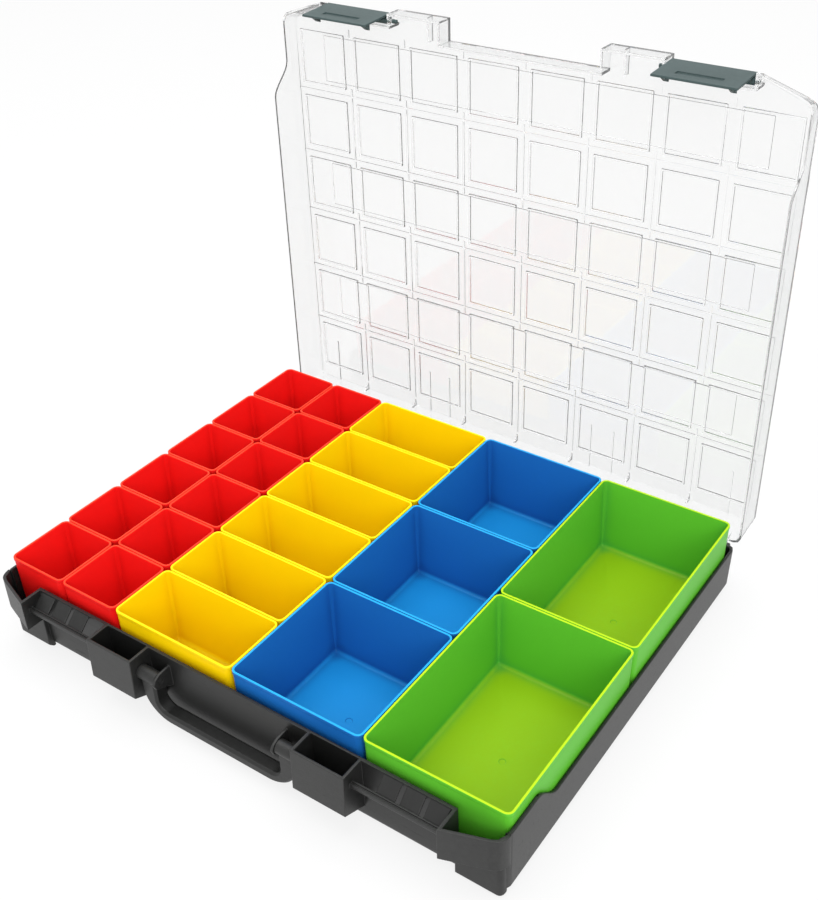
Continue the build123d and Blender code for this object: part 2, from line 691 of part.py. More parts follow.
save(tray(), "tray")
cache = {}
for node, nx, ny, col, row in box_places():
    if (nx, ny) not in cache:
        cache[(nx, ny)] = loose_box(nx, ny)
    cx = -GRID_X + (col + nx / 2) * UNIT
    cy = -GRID_Y + (row + ny / 2) * UNIT
    save(Pos(cx, cy, FLOOR_Z) * cache[(nx, ny)], node)


def swing(shape):
    """Turn a piece of the closed lid back about the hinge line to where it stands open."""
    line = Axis((0, HINGE_Y, HINGE_Z), (1, 0, 0))
    return shape.rotate(line, -90)


save(swing(lid()), "lid")
right = latch_right()
save(swing(right), "latch_right")
save(swing(mirror(right, about=Plane.YZ)), "latch_left")
save(handle(), "handle")
count = 0
for side in (-1, 1):
    for x in HINGE_X:
        count += 1
        pin = rod_x(side * x - HINGE_W / 2, side * x + HINGE_W / 2, HINGE_Y, HINGE_Z, PIN_R)
        save(pin, f"hinge_pin_{count}")
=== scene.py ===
"""Open assortment case: a dark tray of coloured loose boxes, a clear lid, latches and a handle."""

import json
import math

import bmesh
import bpy
import numpy as np
from bpy.props import FloatProperty, FloatVectorProperty, IntProperty, PointerProperty
from mathutils import Matrix, Vector


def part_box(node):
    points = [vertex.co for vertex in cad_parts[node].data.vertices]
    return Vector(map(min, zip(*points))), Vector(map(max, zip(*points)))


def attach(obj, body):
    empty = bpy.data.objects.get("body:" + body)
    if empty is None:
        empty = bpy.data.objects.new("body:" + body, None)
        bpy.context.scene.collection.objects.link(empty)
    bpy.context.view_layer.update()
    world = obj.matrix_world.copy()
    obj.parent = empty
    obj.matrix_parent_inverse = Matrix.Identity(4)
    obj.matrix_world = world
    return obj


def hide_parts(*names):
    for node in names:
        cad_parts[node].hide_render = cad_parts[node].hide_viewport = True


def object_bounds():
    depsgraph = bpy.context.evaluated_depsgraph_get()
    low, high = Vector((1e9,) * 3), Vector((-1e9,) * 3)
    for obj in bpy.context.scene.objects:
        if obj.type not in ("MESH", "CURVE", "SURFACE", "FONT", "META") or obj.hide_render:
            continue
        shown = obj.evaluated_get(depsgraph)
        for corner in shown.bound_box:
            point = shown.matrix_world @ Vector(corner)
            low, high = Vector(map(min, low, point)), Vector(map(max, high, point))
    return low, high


bl_info = {
    "name": "Assortment case",
    "version": (1, 0, 0),
    "blender": (4, 5, 0),
    "location": "View3D > Sidebar > Case",
    "description": "Finishes the pieces of an open assortment case and sets the stage around it",
    "category": "Object",
}

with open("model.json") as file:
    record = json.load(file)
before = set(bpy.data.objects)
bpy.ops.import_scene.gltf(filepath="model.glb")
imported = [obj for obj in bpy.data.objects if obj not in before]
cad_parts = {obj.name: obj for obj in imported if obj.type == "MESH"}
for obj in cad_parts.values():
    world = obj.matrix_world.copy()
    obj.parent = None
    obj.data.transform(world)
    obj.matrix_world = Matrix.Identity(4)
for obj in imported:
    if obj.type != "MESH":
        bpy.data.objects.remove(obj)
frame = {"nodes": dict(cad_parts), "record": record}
CAD_LOW, CAD_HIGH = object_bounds()
NODES = frame["nodes"]
BODIES = frame["record"]["behaviour"]["bodies"]
BODY_OF = {node: body for body, nodes in BODIES.items() for node in nodes}
MM = 0.001

# Copies of frame nodes: points merged within a distance, faces joined and edges called sharp by
# their turn, and the share of the room at an edge that its rounding may take
MERGE_WITHIN = 0.002 * MM
FLAT_ANGLE = math.radians(0.3)
SHARP_ANGLE = math.radians(28)
ROOM_SHARE = 0.3

# Corners rounded more widely: the axis that their edges run along, the lowest and highest point of
# the region in mm with x taken without its sign, and the least and most turn of an edge in degrees
ALONG_AXIS = 0.9
TRAY_CORNERS = (
    {"axis": 2, "low": (202.0, -169.0, 30.0), "high": (211.0, -160.5, 56.0), "angles": (8, 60),
     "width": 2.2 * MM, "segments": 3},
    {"axis": 2, "low": (207.0, -164.0, 3.0), "high": (208.0, -163.0, 31.0), "angles": (80, 100),
     "width": 4.0 * MM, "segments": 4},
)
LID_CORNERS = (
    {"axis": 1, "low": (206.0, 189.0, 356.0), "high": (211.0, 205.0, 368.0), "angles": (20, 50),
     "width": 2.0 * MM, "segments": 3},
)

# Loose boxes: the step under the rim band, the tightest upright corner, how far inside the foot the
# underside's inner loop lies, the round mark in the floor, and the turn past which an edge is crisp
STEP_BELOW = 0.2 * MM
STEP_IN = 0.12 * MM
STEP_ABOVE = 0.15 * MM
LEAST_CORNER = 0.6 * MM
UNDERSIDE_INSET = 4 * MM
MARK_SPREAD = 1.6
MARK_LEAN = 0.3 * MM
MARK_CENTRE = 0.8 * MM
CRISP_DEGREES = 40

# Plastics: how much paler a worn edge is, and the share of light that a box's wall lets through
WORN_GAIN = 1.6
WORN_LIFT = 0.02
LET_THROUGH = 0.22

# Stage, in metres
KEY_LAMP = {"place": (1.5, -1.5, 1.7), "target": (0, 0, 0.05), "size": 1.6}
TOP_LAMP = {"place": (-0.2, 0.0, 2.4), "target": (0, 0, 0), "size": 2.0}
FLOOR_HALF = 9.0
FLOOR_GAP = 0.1 * MM
FLOOR_GLOW = 0.80
WHITE = (1, 1, 1, 1)

# Camera of the photograph, in pixels of its 818 by 900 frame and metres of the frame
PHOTO_W = 818.0
PHOTO_H = 900.0
FOCAL_PX = 1220.6
CENTRE_PX = (425.1, 429.4)
EYE = Vector((0.4283, -0.5407, 0.6164))
LOOK_RIGHT = Vector((0.8261, 0.5631, -0.0229))
LOOK_DOWN = Vector((0.2952, -0.4670, -0.8335))


def colour(name, description, default):
    """A colour a user may change."""
    return FloatVectorProperty(name=name, description=description, default=default,
                               subtype="COLOR", size=3, min=0.0, max=1.0)


def length_mm(name, description, default):
    """A length, given in millimetres and kept in metres."""
    return FloatProperty(name=name, description=description, default=default * MM, min=0.0,
                         subtype="DISTANCE", unit="LENGTH", precision=5)


class CaseColours(bpy.types.PropertyGroup):
    """Colours of the mouldings."""

    tray: colour("Tray", "Dark grey of the tray and the handle", (0.0085, 0.0087, 0.0083))
    latch: colour("Latches", "Blue grey of the two latches", (0.028, 0.050, 0.050))
    # The floor, rim and corner colours of the boxes are painted light and shade: floors painted
    # paler as lit from above, a painted glow on the rims and painted shade in the inside corners.
    red: colour("Red walls", "Walls of the one-cell boxes", (0.93, 0.012, 0.011))
    red_up: colour("Red lit floors", "Floors of the one-cell boxes", (0.82, 0.036, 0.006))
    red_rim: colour("Red rim glow", "Rims of the one-cell boxes", (0.95, 0.060, 0.020))
    red_deep: colour("Red corner shade", "Inside corners of the one-cell boxes", (0.74, 0.008, 0.007))
    yellow: colour("Yellow walls", "Walls of the two-cell boxes", (0.98, 0.70, 0.001))
    yellow_up: colour("Yellow lit floors", "Floors of the two-cell boxes", (0.92, 0.74, 0.004))
    yellow_rim: colour("Yellow rim glow", "Rims of the two-cell boxes", (1.0, 0.84, 0.004))
    yellow_deep: colour("Yellow corner shade", "Inside corners of the two-cell boxes",
                        (0.88, 0.56, 0.001))
    blue: colour("Blue walls", "Walls of the four-cell boxes", (0.012, 0.150, 0.50))
    blue_up: colour("Blue lit floors", "Floors of the four-cell boxes", (0.012, 0.31, 0.74))
    blue_rim: colour("Blue rim glow", "Rims of the four-cell boxes", (0.020, 0.45, 0.88))
    blue_deep: colour("Blue corner shade", "Inside corners of the four-cell boxes", (0.009, 0.090, 0.36))
    green: colour("Green walls", "Walls of the six-cell boxes", (0.12, 0.53, 0.032))
    green_up: colour("Green lit floors", "Floors of the six-cell boxes", (0.30, 0.54, 0.008))
    green_rim: colour("Green rim glow", "Rims of the six-cell boxes", (0.54, 0.78, 0.008))
    green_deep: colour("Green corner shade", "Inside corners of the six-cell boxes",
                       (0.075, 0.42, 0.050))
    clear: colour("Lid", "Tint of the clear lid seen straight through", (0.925, 0.927, 0.926))
    clear_edge: colour("Lid edges", "Tint of the clear lid seen along its walls",
                       (0.80, 0.805, 0.81))
    pin: colour("Pins", "Steel of the hinge pins", (0.55, 0.55, 0.56))


class BoxSizes(bpy.types.PropertyGroup):
    """Sizes of the loose boxes that the frame doesn't give."""

    wall: length_mm("Wall", "Thickness of a box's wall", 1.3)
    draft: length_mm("Draft", "How far a wall leans in on its way down", 1.5)
    corner: length_mm("Corner", "Radius of an upright corner at the rim", 4.85)
    band: length_mm("Rim band", "Height of the thicker band round the rim", 2.6)
    proud: length_mm("Band step", "How far the rim band stands out from the wall", 0.35)
    foot: length_mm("Foot round", "Radius along the bottom outside edge", 1.8)
    cove: length_mm("Cove", "Radius between the inside wall and the floor", 3.2)
    lip: length_mm("Lip round", "Radius of the rim's two top edges", 0.4)
    dimple: length_mm("Dimple", "Radius of the round mark in the floor", 2.5)
    dimple_depth: length_mm("Dimple depth", "Depth of the round mark in the floor", 0.4)
    corner_sides: IntProperty(name="Corner sides", description="Sides in each upright corner",
                              default=8, min=2)
    round_sides: IntProperty(name="Round sides", description="Sides in each rounded edge",
                             default=4, min=1)


class StageSettings(bpy.types.PropertyGroup):
    """Light and floor."""

    key: FloatProperty(name="Key lamp", description="Power in watts of the lamp to the right",
                       default=36.0, min=0.0)
    top: FloatProperty(name="Top lamp", description="Power in watts of the lamp overhead",
                       default=32.0, min=0.0)
    sky: FloatProperty(name="Sky", description="Strength of the even light all round",
                       default=1.05, min=0.0)
    floor: colour("Floor", "Colour of the floor", (0.66, 0.66, 0.66))


class Nodes:
    """A small helper that places nodes in one tree and joins them."""

    def __init__(self, tree):
        self.tree = tree

    def add(self, kind, **values):
        """Place one node and set its properties and unlinked inputs."""
        node = self.tree.nodes.new(kind)
        for key, value in values.items():
            if key in node.inputs:
                node.inputs[key].default_value = value
            else:
                setattr(node, key, value)
        return node

    def link(self, source, target):
        """Join an output socket to an input socket."""
        self.tree.links.new(source, target)


def new_group(name, inputs, outputs):
    """An empty shader node group with the named sockets, its helper and its two end nodes."""
    tree = bpy.data.node_groups.new(name, "ShaderNodeTree")
    for label, kind, default in inputs:
        socket = tree.interface.new_socket(label, in_out="INPUT", socket_type=kind)
        socket.default_value = default
    for label, kind in outputs:
        tree.interface.new_socket(label, in_out="OUTPUT", socket_type=kind)
    made = Nodes(tree)
    return made, made.add("NodeGroupInput"), made.add("NodeGroupOutput")


def moulding_group():
    """Drift of colour, fine grain and faint handling marks of a moulding, from Object coordinates.

    The colour is scaled by 1 plus Drift times (noise less a half). Roughness gains Marks times a
    stretched noise, of which only the peaks count. Height is a fine noise times Grain.
    """
    g, given, out = new_group(
        "Moulded surface",
        [("Color", "NodeSocketColor", (0.5, 0.5, 0.5, 1)), ("Drift", "NodeSocketFloat", 0.08),
         ("Grain size", "NodeSocketFloat", 1800.0), ("Grain", "NodeSocketFloat", 0.3),
         ("Roughness", "NodeSocketFloat", 0.4), ("Marks", "NodeSocketFloat", 0.2)],
        [("Color", "NodeSocketColor"), ("Roughness", "NodeSocketFloat"),
         ("Height", "NodeSocketFloat")])
    place = g.add("ShaderNodeTexCoord")
    cloud = g.add("ShaderNodeTexNoise", Scale=14.0, Detail=3.0, Roughness=0.55)
    g.link(place.outputs["Object"], cloud.inputs["Vector"])
    sway = g.add("ShaderNodeMath", operation="MULTIPLY_ADD")
    g.link(cloud.outputs["Fac"], sway.inputs[0])
    g.link(given.outputs["Drift"], sway.inputs[1])
    sway.inputs[2].default_value = 1.0
    half = g.add("ShaderNodeMath", operation="MULTIPLY_ADD")
    g.link(given.outputs["Drift"], half.inputs[0])
    half.inputs[1].default_value = -0.5
    g.link(sway.outputs[0], half.inputs[2])
    tint = g.add("ShaderNodeVectorMath", operation="SCALE")
    g.link(given.outputs["Color"], tint.inputs[0])
    g.link(half.outputs[0], tint.inputs["Scale"])
    g.link(tint.outputs[0], out.inputs["Color"])
    grain = g.add("ShaderNodeTexNoise", Detail=2.0, Roughness=0.6)
    g.link(place.outputs["Object"], grain.inputs["Vector"])
    g.link(given.outputs["Grain size"], grain.inputs["Scale"])
    stretch = g.add("ShaderNodeMapping", Scale=(1.0, 9.0, 5.0), Rotation=(0.3, 0.2, 0.7))
    g.link(place.outputs["Object"], stretch.inputs["Vector"])
    scuff = g.add("ShaderNodeTexNoise", Scale=60.0, Detail=6.0, Roughness=0.7)
    g.link(stretch.outputs[0], scuff.inputs["Vector"])
    marks = g.add("ShaderNodeMapRange", **{"From Min": 0.56, "From Max": 0.78})
    g.link(scuff.outputs["Fac"], marks.inputs["Value"])
    rough = g.add("ShaderNodeMath", operation="MULTIPLY_ADD")
    g.link(marks.outputs[0], rough.inputs[0])
    g.link(given.outputs["Marks"], rough.inputs[1])
    g.link(given.outputs["Roughness"], rough.inputs[2])
    g.link(rough.outputs[0], out.inputs["Roughness"])
    height = g.add("ShaderNodeMath", operation="MULTIPLY")
    g.link(grain.outputs["Fac"], height.inputs[0])
    g.link(given.outputs["Grain"], height.inputs[1])
    g.link(height.outputs[0], out.inputs["Height"])
    return g.tree


def worn_edge_group():
    """A mask that is 1 along worn convex edges, from the surface's pointiness broken up by noise.

    It rises from 0 to 1 as pointiness plus a tenth of the noise passes Sharpness by a tenth.
    """
    softness = 0.10
    g, given, out = new_group(
        "Worn edges",
        [("Sharpness", "NodeSocketFloat", 0.54), ("Breakup", "NodeSocketFloat", 300.0)],
        [("Mask", "NodeSocketFloat")])
    shape = g.add("ShaderNodeNewGeometry")
    place = g.add("ShaderNodeTexCoord")
    noise = g.add("ShaderNodeTexNoise", Detail=4.0, Roughness=0.7)
    g.link(place.outputs["Object"], noise.inputs["Vector"])
    g.link(given.outputs["Breakup"], noise.inputs["Scale"])
    blend = g.add("ShaderNodeMath", operation="MULTIPLY_ADD")
    g.link(noise.outputs["Fac"], blend.inputs[0])
    blend.inputs[1].default_value = softness
    g.link(shape.outputs["Pointiness"], blend.inputs[2])
    high = g.add("ShaderNodeMath", operation="ADD")
    g.link(given.outputs["Sharpness"], high.inputs[0])
    high.inputs[1].default_value = softness
    edge = g.add("ShaderNodeMapRange", interpolation_type="SMOOTHSTEP")
    g.link(blend.outputs[0], edge.inputs["Value"])
    g.link(given.outputs["Sharpness"], edge.inputs["From Min"])
    g.link(high.outputs[0], edge.inputs["From Max"])
    g.link(edge.outputs[0], out.inputs["Mask"])
    return g.tree


def box_colour_group():
    """Colour of a box: walls, a paler floor and a bright rim that are painted light, and painted
    shade as a deeper tone in the inside corners.

    A face that looks up takes the floor colour, painted as light from above, or above the given
    height the rim colour, a painted glow. Near a corner, where the box's own faces are close,
    floor and walls run into the deeper tone of painted shade.
    """
    g, given, out = new_group(
        "Box colour",
        [("Walls", "NodeSocketColor", (0.5, 0.5, 0.5, 1)),
         ("Floor", "NodeSocketColor", (0.6, 0.6, 0.6, 1)),
         ("Rim", "NodeSocketColor", (0.7, 0.7, 0.7, 1)),
         ("Deep", "NodeSocketColor", (0.3, 0.3, 0.3, 1)),
         ("Rim height", "NodeSocketFloat", 0.05), ("Corner reach", "NodeSocketFloat", 0.02)],
        [("Color", "NodeSocketColor")])
    place = g.add("ShaderNodeTexCoord")
    facing = g.add("ShaderNodeSeparateXYZ")
    g.link(place.outputs["Normal"], facing.inputs[0])
    level = g.add("ShaderNodeSeparateXYZ")
    g.link(place.outputs["Object"], level.inputs[0])
    # Painted light: faces that look up take the paler floor colour, as if lit from above
    rise = g.add("ShaderNodeMapRange", interpolation_type="SMOOTHSTEP",
                 **{"From Min": 0.25, "From Max": 0.85})
    g.link(facing.outputs["Z"], rise.inputs["Value"])
    # Painted glow: upward faces above the rim height take the bright rim colour
    high = g.add("ShaderNodeMath", operation="GREATER_THAN")
    g.link(level.outputs["Z"], high.inputs[0])
    g.link(given.outputs["Rim height"], high.inputs[1])
    up = g.add("ShaderNodeMix", data_type="RGBA")
    g.link(high.outputs[0], up.inputs["Factor"])
    g.link(given.outputs["Floor"], up.inputs["A"])
    g.link(given.outputs["Rim"], up.inputs["B"])
    body = g.add("ShaderNodeMix", data_type="RGBA")
    g.link(rise.outputs[0], body.inputs["Factor"])
    g.link(given.outputs["Walls"], body.inputs["A"])
    g.link(up.outputs["Result"], body.inputs["B"])
    # Painted shade: where the box's own faces are close, the colour runs into the deeper tone
    open_sky = g.add("ShaderNodeAmbientOcclusion", samples=8, only_local=True)
    g.link(given.outputs["Corner reach"], open_sky.inputs["Distance"])
    painted_shade_mask = g.add("ShaderNodeMapRange", interpolation_type="SMOOTHSTEP",
                 **{"From Min": 0.95, "From Max": 0.45, "To Max": 0.85})
    g.link(open_sky.outputs["AO"], painted_shade_mask.inputs["Value"])
    final = g.add("ShaderNodeMix", data_type="RGBA")
    g.link(painted_shade_mask.outputs[0], final.inputs["Factor"])
    g.link(body.outputs["Result"], final.inputs["A"])
    g.link(given.outputs["Deep"], final.inputs["B"])
    g.link(final.outputs["Result"], out.inputs["Color"])
    return g.tree


def group_once(name, build):
    """The named node group, built the first time it is asked for."""
    return bpy.data.node_groups.get(name) or build()


def rounded_normal(g, height_socket, radius, strength, distance):
    """Normal of a surface whose edges look rounded by radius, with the height laid on it."""
    soft = g.add("ShaderNodeBevel", samples=4, Radius=radius)
    bump = g.add("ShaderNodeBump", Strength=strength, Distance=distance)
    g.link(soft.outputs["Normal"], bump.inputs["Normal"])
    g.link(height_socket, bump.inputs["Height"])
    return bump.outputs["Normal"]


def new_material(name):
    """A material with its node helper, its Principled shader and its output node."""
    material = bpy.data.materials.new(name)
    material.use_nodes = True
    nodes = material.node_tree.nodes
    return material, Nodes(material.node_tree), nodes["Principled BSDF"], nodes["Material Output"]


def moulded_surface(g, base, **values):
    """The moulded surface group in one material, with its colour and other values."""
    tree = group_once("Moulded surface", moulding_group)
    return g.add("ShaderNodeGroup", name="surface", node_tree=tree, Color=(*base, 1), **values)


def moulded_plastic(name, base, rough, grain_size, grain, drift, marks, wear, soft_edge, specular):
    """Opaque moulded plastic with grain, faint marks and paler worn edges."""
    material, g, shader, _ = new_material(name)
    surface = moulded_surface(g, base, Drift=drift, Grain=grain, Roughness=rough, Marks=marks,
                              **{"Grain size": grain_size})
    worn = g.add("ShaderNodeGroup", node_tree=group_once("Worn edges", worn_edge_group))
    amount = g.add("ShaderNodeMath", operation="MULTIPLY")
    g.link(worn.outputs["Mask"], amount.inputs[0])
    amount.inputs[1].default_value = wear
    pale = [min(1.0, tone * WORN_GAIN + WORN_LIFT) for tone in base]
    mix = g.add("ShaderNodeMix", data_type="RGBA")
    mix.inputs["B"].default_value = (*pale, 1)
    g.link(amount.outputs[0], mix.inputs["Factor"])
    g.link(surface.outputs["Color"], mix.inputs["A"])
    g.link(mix.outputs["Result"], shader.inputs["Base Color"])
    g.link(surface.outputs["Roughness"], shader.inputs["Roughness"])
    normal = rounded_normal(g, surface.outputs["Height"], radius=soft_edge, strength=0.25,
                            distance=0.2 * MM)
    g.link(normal, shader.inputs["Normal"])
    shader.inputs["IOR"].default_value = 1.49
    shader.inputs["Specular IOR Level"].default_value = specular
    return material


def box_plastic(name, walls, floor, rim, deep, rim_height):
    """Slightly translucent moulded plastic with painted light: floors and rims painted paler than
    its walls, and painted shade in its inside corners.
    """
    material = moulded_plastic(name, walls, rough=0.36, grain_size=900.0, grain=0.2, drift=0.06,
                               marks=0.14, wear=0.25, soft_edge=0.3 * MM, specular=0.16)
    nodes = material.node_tree.nodes
    g = Nodes(material.node_tree)
    blend = g.add("ShaderNodeGroup", node_tree=group_once("Box colour", box_colour_group),
                  Walls=(*walls, 1), Floor=(*floor, 1), Rim=(*rim, 1), Deep=(*deep, 1),
                  **{"Rim height": rim_height, "Corner reach": 12 * MM})
    g.link(blend.outputs["Color"], nodes["surface"].inputs["Color"])
    through = g.add("ShaderNodeBsdfTranslucent")
    g.link(nodes["surface"].outputs["Color"], through.inputs["Color"])
    mix = g.add("ShaderNodeMixShader", Fac=LET_THROUGH)
    g.link(nodes["Principled BSDF"].outputs["BSDF"], mix.inputs[1])
    g.link(through.outputs["BSDF"], mix.inputs[2])
    g.link(mix.outputs[0], nodes["Material Output"].inputs["Surface"])
    return material


def clear_plastic(name, tint, edge):
    """Clear moulded plastic that lets lamp light through, with faint flow waves and scratches."""
    material, g, shader, out = new_material(name)
    surface = moulded_surface(g, tint, Drift=0.01, Grain=1.0, Roughness=0.03, Marks=0.10,
                              **{"Grain size": 35.0})
    along = g.add("ShaderNodeLayerWeight", Blend=0.5)
    amount = g.add("ShaderNodeMapRange", interpolation_type="SMOOTHSTEP",
                   **{"From Min": 0.30, "From Max": 0.66})
    g.link(along.outputs["Facing"], amount.inputs["Value"])
    shade = g.add("ShaderNodeMix", data_type="RGBA")
    g.link(amount.outputs[0], shade.inputs["Factor"])
    g.link(surface.outputs["Color"], shade.inputs["A"])
    shade.inputs["B"].default_value = (*edge, 1)
    g.link(shade.outputs["Result"], shader.inputs["Base Color"])
    g.link(surface.outputs["Roughness"], shader.inputs["Roughness"])
    normal = rounded_normal(g, surface.outputs["Height"], radius=0.4 * MM, strength=0.04,
                            distance=0.4 * MM)
    g.link(normal, shader.inputs["Normal"])
    shader.inputs["Transmission Weight"].default_value = 0.96
    shader.inputs["IOR"].default_value = 1.36
    shadow = g.add("ShaderNodeBsdfTransparent", Color=(0.90, 0.91, 0.92, 1))
    path = g.add("ShaderNodeLightPath")
    mix = g.add("ShaderNodeMixShader")
    g.link(path.outputs["Is Shadow Ray"], mix.inputs["Fac"])
    g.link(shader.outputs["BSDF"], mix.inputs[1])
    g.link(shadow.outputs["BSDF"], mix.inputs[2])
    g.link(mix.outputs[0], out.inputs["Surface"])
    return material


def drawn_steel(name, base):
    """Bright steel wire, a little uneven in colour and gloss."""
    material, g, shader, _ = new_material(name)
    surface = moulded_surface(g, base, Drift=0.2, Roughness=0.28, Marks=0.2)
    g.link(surface.outputs["Color"], shader.inputs["Base Color"])
    g.link(surface.outputs["Roughness"], shader.inputs["Roughness"])
    shader.inputs["Metallic"].default_value = 1.0
    return material


def set_material(obj, material):
    """Give an object one material."""
    obj.data.materials.clear()
    obj.data.materials.append(material)


def arc(centre, radius, start, end, sides):
    """Points of a circular arc in a section, as (inset, height), between two angles in degrees.

    Each is the centre plus the radius times the cosine and the sine of its angle.
    """
    turn = np.radians(np.linspace(start, end, sides + 1))
    return np.stack([centre[0] + radius * np.cos(turn), centre[1] + radius * np.sin(turn)], axis=1)


def box_section(size, height):
    """Section of a box's wall from its underside's edge, up outside, over the rim, down inside.

    Each point is (inset from the rim's outer face, height). Straight runs join arcs: the foot, the
    step under the rim band, the two edges of the lip and the cove at the floor.
    """
    n = size.round_sides
    step = height - size.band
    outer_low = size.proud + size.draft
    inner_low = outer_low + size.wall
    inner_high = inner_low - size.draft - size.draft / step * size.band
    rows = [
        arc((outer_low + size.foot, size.foot), size.foot, 270, 180, n),
        np.array([[size.proud, step - STEP_BELOW], [STEP_IN, step], [0.0, step + STEP_ABOVE]]),
        arc((size.lip, height - size.lip), size.lip, 180, 90, n),
        arc((inner_high - size.lip, height - size.lip), size.lip, 90, 0, n),
        arc((inner_low + size.cove, size.wall + size.cove), size.cove, 180, 270, n),
    ]
    return np.concatenate(rows)


def rounded_loops(half_w, half_d, corner, insets, heights, sides):
    """Rounded-rectangle loops, one per inset and height, all with the same number of points.

    Point (i, j) is a corner's centre plus the corner's radius, less the inset, turned by the angle
    of column j; the corner's centre moves in once the radius has reached its least value.
    """
    turn = np.radians(np.linspace(0, 90, sides + 1))
    quarter = np.concatenate([turn + math.radians(90 * k) for k in range(4)])
    sx = np.repeat([1, -1, -1, 1], sides + 1)
    sy = np.repeat([1, 1, -1, -1], sides + 1)
    radius = np.maximum(corner - insets, LEAST_CORNER)[:, None]
    cx = half_w - insets[:, None] - radius
    cy = half_d - insets[:, None] - radius
    x = sx * cx + radius * np.cos(quarter)
    y = sy * cy + radius * np.sin(quarter)
    z = np.broadcast_to(heights[:, None], x.shape)
    return np.stack([x, y, z], axis=2)


def circle_loops(radii, heights, count):
    """Circles of count evenly spaced points, a quarter of them facing each corner of a rectangle.

    Point (i, j) lies at radius i, turned by (j + 1/2) of count parts of a full turn.
    """
    around = (np.arange(count) + 0.5) * 2 * math.pi / count
    x = radii[:, None] * np.cos(around)
    y = radii[:, None] * np.sin(around)
    z = np.broadcast_to(heights[:, None], x.shape)
    return np.stack([x, y, z], axis=2)


def mesh_from_loops(name, loops, centre):
    """A closed mesh through stacked loops: quads between neighbours and one polygon at each end.

    Row i of the grid is loop i, moved by the centre; column j joins column j + 1, and the last the
    first.
    """
    rows, cols = loops.shape[:2]
    points = (loops + np.asarray(centre)).reshape(-1, 3)
    i = np.arange(rows - 1)[:, None]
    j = np.arange(cols)[None, :]
    k = (j + 1) % cols
    low, high = i * cols, (i + 1) * cols
    quads = np.stack([low + j, low + k, high + k, high + j], axis=2).reshape(-1, 4)
    first = np.arange(cols)[::-1].tolist()
    last = ((rows - 1) * cols + np.arange(cols)).tolist()
    mesh = bpy.data.meshes.new(name)
    mesh.from_pydata(points.tolist(), [], quads.tolist() + [first, last])
    return mesh


def link_piece(name, mesh, node):
    """Put a finished mesh in the scene as the piece that stands for a frame node."""
    piece = bpy.data.objects.new(name, mesh)
    bpy.context.scene.collection.objects.link(piece)
    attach(piece, BODY_OF[node])
    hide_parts(node)
    return piece


def narrowest(vert):
    """Sine of the narrowest corner that a face makes at a vertex, doubled, and 1 at most."""
    corner = min(loop.calc_angle() for loop in vert.link_loops)
    return min(1.0, 2.0 * math.sin(min(corner, math.pi / 2)))


def rounding_share(mesh, sharp, narrow, width):
    """How much of a rounding's width each edge takes: none where flat, less where there is no room.

    The room at a vertex is the shortest edge that meets it, made less where a face comes to a
    narrow point. An edge takes at most ROOM_SHARE of the room at whichever end has less.
    """
    ends = np.empty(2 * len(mesh.edges), dtype=np.int32)
    mesh.edges.foreach_get("vertices", ends)
    ends = ends.reshape(-1, 2)
    place = np.empty(3 * len(mesh.vertices))
    mesh.vertices.foreach_get("co", place)
    place = place.reshape(-1, 3)
    length = np.linalg.norm(place[ends[:, 0]] - place[ends[:, 1]], axis=1)
    room = np.full(len(place), np.inf)
    np.minimum.at(room, ends.ravel(), np.repeat(length, 2))
    room *= narrow
    least = np.minimum(room[ends[:, 0]], room[ends[:, 1]])
    return np.where(sharp, np.clip(ROOM_SHARE * least / width, 0.0, 1.0), 0.0)


def soften(shape, axis, low, high, angles, width, segments):
    """Round the outside edges along an axis, in a region on both sides of the middle plane.

    An edge counts when its turn in degrees is between the two angles and its ends, with x taken
    without its sign, lie between low and high.
    """
    picked = []
    for edge in shape.edges:
        if not edge.is_manifold or not edge.is_convex:
            continue
        ends = [Vector((abs(v.co.x), v.co.y, v.co.z)) / MM for v in edge.verts]
        inside = all(low[k] <= end[k] <= high[k] for end in ends for k in range(3))
        run = (edge.verts[1].co - edge.verts[0].co).normalized()
        turn = math.degrees(edge.calc_face_angle())
        if inside and abs(run[axis]) > ALONG_AXIS and angles[0] < turn < angles[1]:
            picked.append(edge)
    if not picked:
        raise RuntimeError("no edges to soften in the given region")
    bmesh.ops.bevel(shape, geom=picked, offset=width, offset_type="OFFSET", segments=segments,
                    profile=0.5, affect="EDGES", clamp_overlap=False)


def rounded_copy(node, material, width, segments, softened=()):
    """A merged copy of a frame node whose sharp edges are rounded by a bevel of the given width.

    The edges in the regions of softened are rounded first, more widely.
    """
    source = NODES[node]
    shape = bmesh.new()
    shape.from_mesh(source.data)
    shape.transform(source.matrix_world)
    bmesh.ops.remove_doubles(shape, verts=shape.verts, dist=MERGE_WITHIN)
    bmesh.ops.dissolve_degenerate(shape, edges=shape.edges, dist=MERGE_WITHIN)
    bmesh.ops.dissolve_limit(shape, angle_limit=FLAT_ANGLE, verts=shape.verts, edges=shape.edges)
    for region in softened:
        soften(shape, **region)
    narrow = np.array([narrowest(vert) for vert in shape.verts])
    bmesh.ops.connect_verts_concave(shape, faces=shape.faces)
    sharp = np.array([edge.calc_face_angle(0.0) > SHARP_ANGLE for edge in shape.edges])
    mesh = bpy.data.meshes.new(f"{node}_form")
    shape.to_mesh(mesh)
    shape.free()
    if "custom_normal" in mesh.attributes:
        mesh.attributes.remove(mesh.attributes["custom_normal"])
    mesh.shade_smooth()
    share = rounding_share(mesh, sharp, narrow, width)
    weights = mesh.attributes.new("bevel_weight_edge", "FLOAT", "EDGE")
    weights.data.foreach_set("value", share)
    piece = link_piece(f"{node}_rounded", mesh, node)
    bevel = piece.modifiers.new("Rounded edges", "BEVEL")
    bevel.width = width
    bevel.segments = segments
    bevel.limit_method = "WEIGHT"
    bevel.use_clamp_overlap = False
    even = piece.modifiers.new("Flat faces stay flat", "WEIGHTED_NORMAL")
    even.mode = "FACE_AREA"
    even.weight = 100
    even.keep_sharp = False
    set_material(piece, material)


